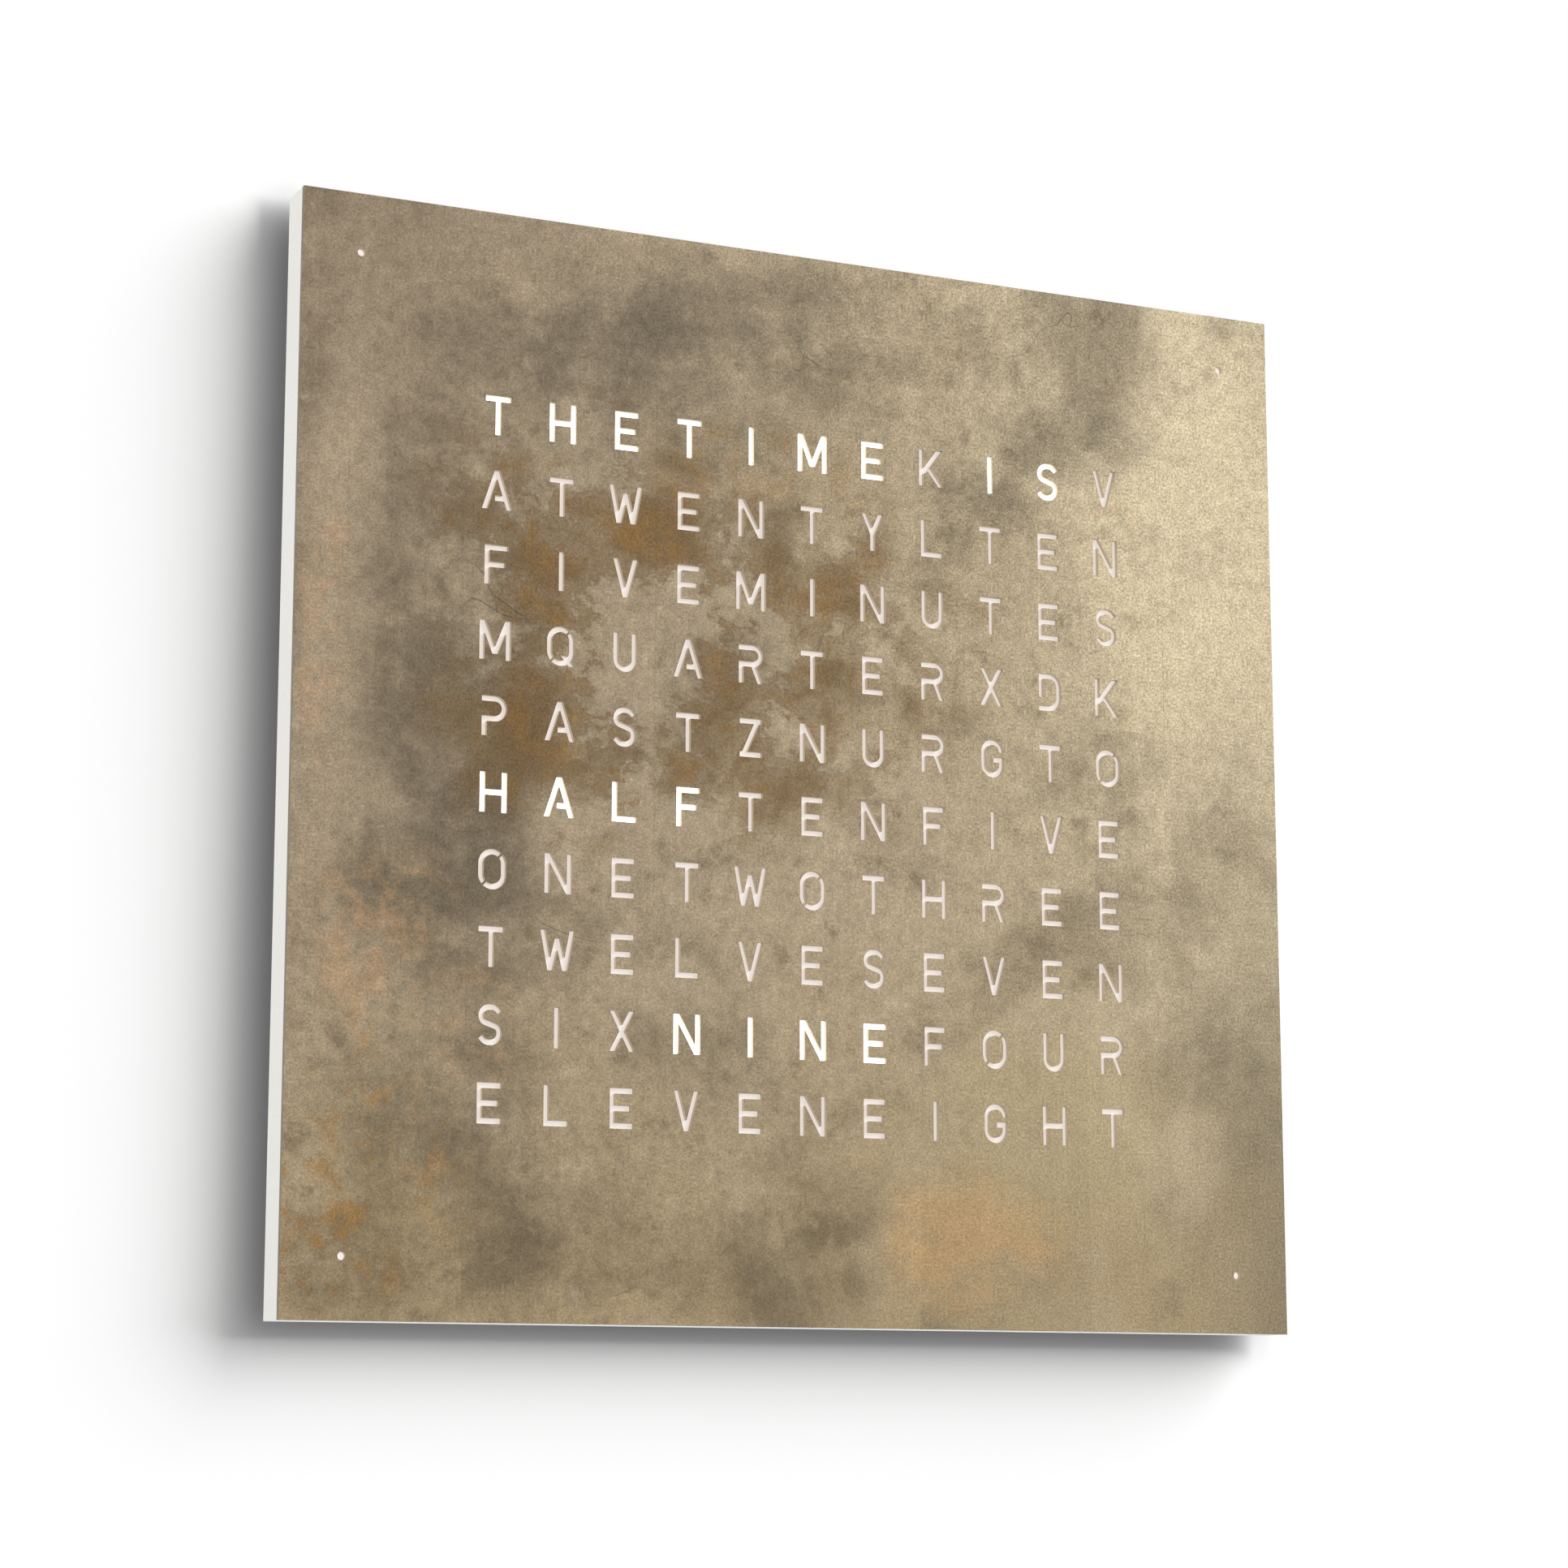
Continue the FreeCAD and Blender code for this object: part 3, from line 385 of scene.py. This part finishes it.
        # Painted light: the slot walls are kept pale so that they show no shade
        painted_lit_wall = self.ramp(cut, (0.3, linear(206, 196, 178)), (0.7, linear(220, 210, 192)))
        dull = self.ramp(cut, (0.3, linear(120, 112, 100)), (0.7, linear(142, 134, 120)))
        reach = self.math("MAXIMUM", self.math("ABSOLUTE", self.x), self.math("ABSOLUTE", self.z))
        steel = self.mix(self.math("GREATER_THAN", reach, plate_edge), painted_lit_wall, dull)
        self.colour = self.mix(self.facing_front(), steel, self.colour)

    def finish(self):
        """Sets the surface from the colour, with a fine relief."""
        rough = self.span(self.math("ADD", self.math("MULTIPLY", self.grain, 0.5),
                                    self.math("MULTIPLY", self.cloud, 0.5)), 0.3, 0.7, 0.60, 0.48)
        height = self.math("ADD", self.math("MULTIPLY", self.grain, 0.7),
                           self.math("MULTIPLY", self.mottle, 0.3))
        self.set(Base_Color=self.colour, Metallic=0.2, Roughness=rough, Specular_IOR_Level=0.12,
                 Normal=self.bump(height, 0.00010, 0.5, self.soft_edges(0.00012)))
        return self.material


def stained_leaf():
    leaf = Leaf()
    leaf.ground()
    leaf.patterns()
    leaf.clouds()
    leaf.stains()
    leaf.blushes()
    leaf.painted_highlights()
    leaf.low_marks()
    leaf.seams()
    leaf.cracks()
    leaf.grain_and_painted_glints()
    leaf.cut_edges()
    return leaf.finish()


# Back-lit sheet

def opal_sheet():
    shader = Shader("opal_sheet")
    outputs = shader.axes()
    first_x = centre_x - (columns - 1) / 2 * column_pitch
    first_z = centre_z + (rows - 1) / 2 * row_pitch
    column = shader.math("DIVIDE", shader.math("SUBTRACT", outputs["X"], first_x), column_pitch)
    row = shader.math("DIVIDE", shader.math("SUBTRACT", first_z, outputs["Z"]), row_pitch)

    def in_cell(value, pitch):
        """One inside a light cell and zero between cells, from a place in columns or rows."""
        offset = shader.math("SUBTRACT", value, shader.math("ROUND", value))
        away = shader.math("MULTIPLY", shader.math("ABSOLUTE", offset), pitch)
        return shader.span(away, cell_half + cell_edge, cell_half - cell_edge)

    def from_dots(axis, middle):
        """Distance from the nearest line of corner dots, along one axis."""
        away = shader.math("ABSOLUTE", shader.math("SUBTRACT", outputs[axis], middle))
        return shader.math("SUBTRACT", away, dot_place)

    cell = shader.math("MULTIPLY", in_cell(column, column_pitch), in_cell(row, row_pitch))
    runs = 0.0
    for row_number, first, last in lit_runs:
        in_row = shader.near(shader.math("ROUND", row), row_number, 0.4)
        in_run = shader.near(shader.math("ROUND", column), (first + last) / 2, (last - first) / 2 + 0.1)
        runs = shader.math("ADD", runs, shader.math("MULTIPLY", in_row, in_run))
    letters = shader.math("MULTIPLY", runs, cell)
    squares = [shader.math("MULTIPLY", away, away)
               for away in (from_dots("X", centre_x), from_dots("Z", centre_z))]
    dots = shader.span(shader.math("SQRT", shader.math("ADD", *squares)),
                       dot_glow_radius, dot_glow_radius - dot_edge)
    light = shader.math("ADD", letters, shader.math("MULTIPLY", dots, dot_share), clamp=True)
    cloudy = shader.noise(60, 3)
    colour = shader.ramp(cloudy, (0.3, linear(140, 134, 130)), (0.7, linear(148, 142, 137)))
    # Unlit parts glow pale pink as painted light; the lit letters and dots glow white from their lamps
    glow = shader.mix(light, linear(232, 222, 215), (1.0, 0.985, 0.96, 1.0))
    shader.set(Base_Color=colour, Roughness=0.55, Emission_Color=glow,
               Emission_Strength=shader.span(light, 0, 1, painted_sheet_glow, letter_glow),
               Normal=shader.bump(shader.noise(900, 2), 0.00002))
    return shader.material


# Plain finishes

def lacquer(name, tone, roughness=0.32):
    shader = Shader(name)
    dust = shader.noise(24, 4, 0.6)
    colour = shader.ramp(dust, (0.25, shade(tone, 0.965)), (0.75, tone))
    rough = shader.span(shader.noise(130, 3), 0.3, 0.7, roughness - 0.05, roughness + 0.07)
    shader.set(Base_Color=colour, Roughness=rough, Coat_Weight=0.25, Coat_Roughness=0.2,
               Normal=shader.bump(shader.noise(420, 2), 0.000008, 0.3))
    return shader.material


def painted_board(name, tone):
    """White paint on milled fibreboard, with a faint nap."""
    shader = Shader(name)
    fibres = shader.noise(700, 3, 0.7)
    colour = shader.ramp(fibres, (0.3, shade(tone, 0.9)), (0.7, tone))
    shader.set(Base_Color=colour, Roughness=0.75,
               Normal=shader.bump(fibres, 0.00008, 0.6, shader.soft_edges(0.0003)))
    return shader.material


def moulded(name, tone, roughness, grain_scale=1400.0, grain_depth=0.00003, edge=0.0002):
    """Moulded plastic or rubber with a fine grain."""
    shader = Shader(name)
    grain = shader.noise(grain_scale, 3, 0.6)
    wear = shader.noise(90, 3, 0.6)
    colour = shader.ramp(wear, (0.3, shade(tone, 0.85)), (0.75, tone))
    rough = shader.span(wear, 0.3, 0.7, roughness - 0.06, roughness + 0.06)
    shader.set(Base_Color=colour, Roughness=rough,
               Normal=shader.bump(grain, grain_depth, 0.6, shader.soft_edges(edge)))
    return shader.material


def metal(name, tone, roughness, lines=(1, 1, 1), edge=0.0001):
    """Plated or brushed metal. The grain runs along the axis with the smallest scale."""
    shader = Shader(name)
    brushed = shader.noise(220, 4, 0.7, 0, shader.stretched(*lines))
    colour = shader.ramp(brushed, (0.3, shade(tone, 0.82)), (0.7, tone))
    rough = shader.span(brushed, 0.3, 0.7, roughness - 0.06, roughness + 0.10)
    shader.set(Base_Color=colour, Metallic=1.0, Roughness=rough,
               Normal=shader.bump(brushed, 0.00002, 0.4, shader.soft_edges(edge)))
    return shader.material


def circuit_board(name, mask, copper):
    """Solder mask over faint copper tracks, with small bare pads."""
    shader = Shader(name)
    place = shader.stretched(1, 0, 1)
    tracks = shader.cells(230, "DISTANCE_TO_EDGE", place)
    track = shader.span(tracks, 0.10, 0.13, 1, 0)
    pads = shader.cells(260, "F1", place)
    pad = shader.span(pads, 0.16, 0.13)
    colour = shader.mix(shader.math("MULTIPLY", track, 0.5), mask, copper)
    colour = shader.mix(pad, colour, linear(206, 205, 196))
    height = shader.math("ADD", track, pad, clamp=True)
    shader.set(Base_Color=colour, Roughness=shader.span(pad, 0, 1, 0.42, 0.25),
               Metallic=shader.math("MULTIPLY", pad, 0.8),
               Normal=shader.bump(height, 0.00004, 0.7, shader.soft_edges(0.0001)))
    return shader.material


def powder_coat(name, tone):
    shader = Shader(name)
    pebbles = shader.noise(1100, 2, 0.5)
    haze = shader.noise(12, 4)
    colour = shader.ramp(haze, (0.3, shade(tone, 0.93)), (0.7, tone))
    shader.set(Base_Color=colour, Roughness=shader.span(pebbles, 0.3, 0.7, 0.5, 0.62),
               Normal=shader.bump(pebbles, 0.00006, 0.8, shader.soft_edges(0.0003)))
    return shader.material


def wound_wire(name, tone):
    """Fine turns of enamelled wire round the antenna's rod."""
    shader = Shader(name)
    outputs = shader.axes()
    turn = shader.math("SINE", shader.math("MULTIPLY", outputs["X"], math.tau / coil_wire_pitch))
    colour = shader.ramp(shader.span(turn, -1, 1), (0.0, linear(92, 44, 20)), (1.0, tone))
    shader.set(Base_Color=colour, Metallic=0.7, Roughness=shader.span(turn, -1, 1, 0.5, 0.28),
               Normal=shader.bump(turn, 0.00012, 0.8))
    return shader.material


def lamp_body(name):
    """White lamp body with a yellow phosphor well in its middle."""
    shader = Shader(name)
    outputs = shader.axes()
    well = shader.math("GREATER_THAN", outputs["Y"], face_y + lamp_face_depth)
    speck = shader.noise(900, 2)
    phosphor = shader.ramp(speck, (0.3, linear(222, 186, 70)), (0.7, linear(238, 208, 98)))
    shell = shader.ramp(speck, (0.3, linear(226, 226, 220)), (0.7, linear(240, 240, 236)))
    front = shader.math("MULTIPLY", shader.facing_front(), well)
    shader.set(Base_Color=shader.mix(front, shell, phosphor), Roughness=0.35,
               Normal=shader.bump(speck, 0.00002))
    return shader.material


def smoked_window(name):
    shader = Shader(name)
    haze = shader.noise(500, 2)
    colour = shader.ramp(haze, (0.3, linear(60, 62, 66)), (0.7, linear(74, 76, 80)))
    shader.set(Base_Color=colour, Roughness=shader.span(haze, 0.3, 0.7, 0.08, 0.16), Coat_Weight=0.6,
               Normal=shader.bump(haze, 0.00001))
    return shader.material


def finishes():
    """One material for each slot of the record."""
    return {
        "stained_leaf": stained_leaf(),
        "white_lacquer": lacquer("white_lacquer", linear(233, 231, 223)),
        "opal_sheet": opal_sheet(),
        "white_core": painted_board("white_core", linear(228, 226, 219)),
        "magnet": metal("magnet", linear(206, 205, 202), 0.2),
        "circuit_board": circuit_board("circuit_board", linear(232, 232, 226), linear(214, 208, 190)),
        "green_board": circuit_board("green_board", linear(22, 84, 50), linear(58, 122, 70)),
        "lamp_body": lamp_body("lamp_body"),
        "screw_steel": metal("screw_steel", linear(196, 196, 194), 0.28),
        "black_plastic": moulded("black_plastic", linear(38, 38, 40), 0.5),
        "chip_black": moulded("chip_black", linear(30, 30, 32), 0.6, 2200),
        "nickel": metal("nickel", linear(208, 205, 196), 0.22),
        "capacitor": metal("capacitor", linear(212, 213, 216), 0.3, (6, 1, 6)),
        "ferrite": moulded("ferrite", linear(52, 52, 54), 0.55, 1800, 0.00005),
        "copper_coil": wound_wire("copper_coil", linear(196, 108, 58)),
        "clear_window": smoked_window("clear_window"),
        "white_button": moulded("white_button", linear(232, 230, 222), 0.3, 900, 0.00001),
        "wire_red": moulded("wire_red", linear(176, 32, 28), 0.42),
        "wire_grey": moulded("wire_grey", linear(140, 140, 142), 0.45),
        "panel_paint": powder_coat("panel_paint", linear(214, 213, 208)),
        "plate_steel": metal("plate_steel", linear(188, 190, 192), 0.32, (0.2, 1, 3)),
        "bumper_rubber": moulded("bumper_rubber", linear(48, 48, 48), 0.8, 1200, 0.00006),
    }


def dress():
    materials = finishes()
    slots = {entry["node"]: entry["material_slot"] for entry in frame["record"]["subparts"]}
    for name, piece in nodes.items():
        piece.data.materials.clear()
        piece.data.materials.append(materials[slots[name]])


# Wall, floor, light and camera

def blank_material(name):
    material = bpy.data.materials.new(name)
    material.use_nodes = True
    material.node_tree.nodes.clear()
    return material


def one_sided(material, surface):
    """Shows a surface from its front only. From behind it is clear."""
    tree = material.node_tree
    output = tree.nodes.new("ShaderNodeOutputMaterial")
    clear = tree.nodes.new("ShaderNodeBsdfTransparent")
    behind = tree.nodes.new("ShaderNodeNewGeometry")
    mix = tree.nodes.new("ShaderNodeMixShader")
    tree.links.new(behind.outputs["Backfacing"], mix.inputs[0])
    tree.links.new(surface.outputs[0], mix.inputs[1])
    tree.links.new(clear.outputs[0], mix.inputs[2])
    tree.links.new(mix.outputs[0], output.inputs["Surface"])


def wall_material(name):
    """Matt white with a faint glow, which shows only from its front."""
    material = blank_material(name)
    paint = material.node_tree.nodes.new("ShaderNodeBsdfPrincipled")
    paint.inputs["Base Color"].default_value = (0.96, 0.96, 0.96, 1)
    paint.inputs["Roughness"].default_value = 1.0
    paint.inputs["Specular IOR Level"].default_value = 0.0
    paint.inputs["Emission Color"].default_value = (1, 1, 1, 1)
    paint.inputs["Emission Strength"].default_value = wall_glow
    one_sided(material, paint)
    return material


def flag_material(name):
    material = blank_material(name)
    paint = material.node_tree.nodes.new("ShaderNodeBsdfDiffuse")
    paint.inputs["Color"].default_value = (0.01, 0.01, 0.01, 1)
    one_sided(material, paint)
    return material


def flat_piece(name, material, corners):
    mesh = bpy.data.meshes.new(name)
    mesh.from_pydata(corners, [], [(0, 1, 2, 3)])
    mesh.materials.append(material)
    piece = bpy.data.objects.new(name, mesh)
    bpy.context.collection.objects.link(piece)
    return piece


def make_stage():
    """A wall and a floor that only the camera sees, so that they add no light."""
    far = stage_reach
    floor_z = centre_z - floor_drop
    planes = {"wall": [(-far, wall_gap, -far), (far, wall_gap, -far), (far, wall_gap, far),
                       (-far, wall_gap, far)],
              "floor": [(-far, -far, floor_z), (far, -far, floor_z), (far, wall_gap, floor_z),
                        (-far, wall_gap, floor_z)]}
    for name, corners in planes.items():
        piece = flat_piece(name, wall_material(name), corners)
        piece.visible_diffuse = False
        piece.visible_glossy = False
        piece.visible_transmission = False
        piece.visible_shadow = False


def make_flag():
    """A hidden dark board just behind the clock, which faces the wall. It keeps the light of the
    clock's white sides and back off the wall close by."""
    reach = half + flag_width
    low = (centre_x - reach, centre_z - reach)
    high = (centre_x + reach, centre_z + reach)
    piece = flat_piece("flag", flag_material("flag"),
                       [(low[0], flag_gap, low[1]), (low[0], flag_gap, high[1]),
                        (high[0], flag_gap, high[1]), (high[0], flag_gap, low[1])])
    piece.visible_camera = False
    piece.visible_glossy = False
    piece.visible_transmission = False


def make_world():
    """White where it is seen straight, in a gloss or through a clear piece, otherwise a dim fill."""
    world = bpy.data.worlds.new("studio")
    bpy.context.scene.world = world
    world.use_nodes = True
    tree = world.node_tree
    tree.nodes.clear()

    def either(first, second):
        node = tree.nodes.new("ShaderNodeMath")
        node.operation = "MAXIMUM"
        tree.links.new(first, node.inputs[0])
        tree.links.new(second, node.inputs[1])
        return node.outputs[0]

    def background(strength):
        node = tree.nodes.new("ShaderNodeBackground")
        node.inputs["Color"].default_value = (1, 1, 1, 1)
        node.inputs["Strength"].default_value = strength
        return node.outputs[0]

    path = tree.nodes.new("ShaderNodeLightPath").outputs
    shine = either(path["Is Glossy Ray"], path["Is Transmission Ray"])
    mix = tree.nodes.new("ShaderNodeMixShader")
    tree.links.new(either(path["Is Camera Ray"], shine), mix.inputs[0])
    tree.links.new(background(world_fill), mix.inputs[1])
    tree.links.new(background(1.0), mix.inputs[2])
    output = tree.nodes.new("ShaderNodeOutputWorld")
    tree.links.new(mix.outputs[0], output.inputs["Surface"])


def hang_light(name, data, offset):
    """Places a light at an offset from the middle of the face, and aims it there."""
    lamp = bpy.data.objects.new(name, data)
    bpy.context.collection.objects.link(lamp)
    lamp.location = Vector((centre_x, face_y, centre_z)) + Vector(offset)
    lamp.rotation_mode = "QUATERNION"
    lamp.rotation_quaternion = (-Vector(offset)).to_track_quat("-Z", "Y")


def studio_light(name, offset, size, power):
    """A square soft light."""
    data = bpy.data.lights.new(name, "AREA")
    data.shape = "SQUARE"
    data.size = size
    data.energy = power
    hang_light(name, data, offset)


def far_light(name, offset, strength, angle):
    """A wide soft light from far away, so that the whole wall is lit alike."""
    data = bpy.data.lights.new(name, "SUN")
    data.energy = strength
    data.angle = math.radians(angle)
    hang_light(name, data, offset)


def make_lights():
    far_light("key", key_place, key_strength, key_angle)
    for light in fill_lights:
        studio_light(*light)


def make_camera():
    data = bpy.data.cameras.new("camera")
    data.sensor_width = camera_sensor
    data.lens = camera_lens
    data.clip_end = camera_clip
    camera = bpy.data.objects.new("camera", data)
    bpy.context.collection.objects.link(camera)
    camera.location = Vector((centre_x, face_y, centre_z)) + camera_offset
    camera.rotation_euler = (math.radians(90 + camera_rise), 0, math.radians(-camera_turn))
    bpy.context.scene.camera = camera


dress()
make_stage()
make_flag()
make_world()
make_lights()
make_camera()
bpy.context.scene.view_settings.view_transform = "Standard"
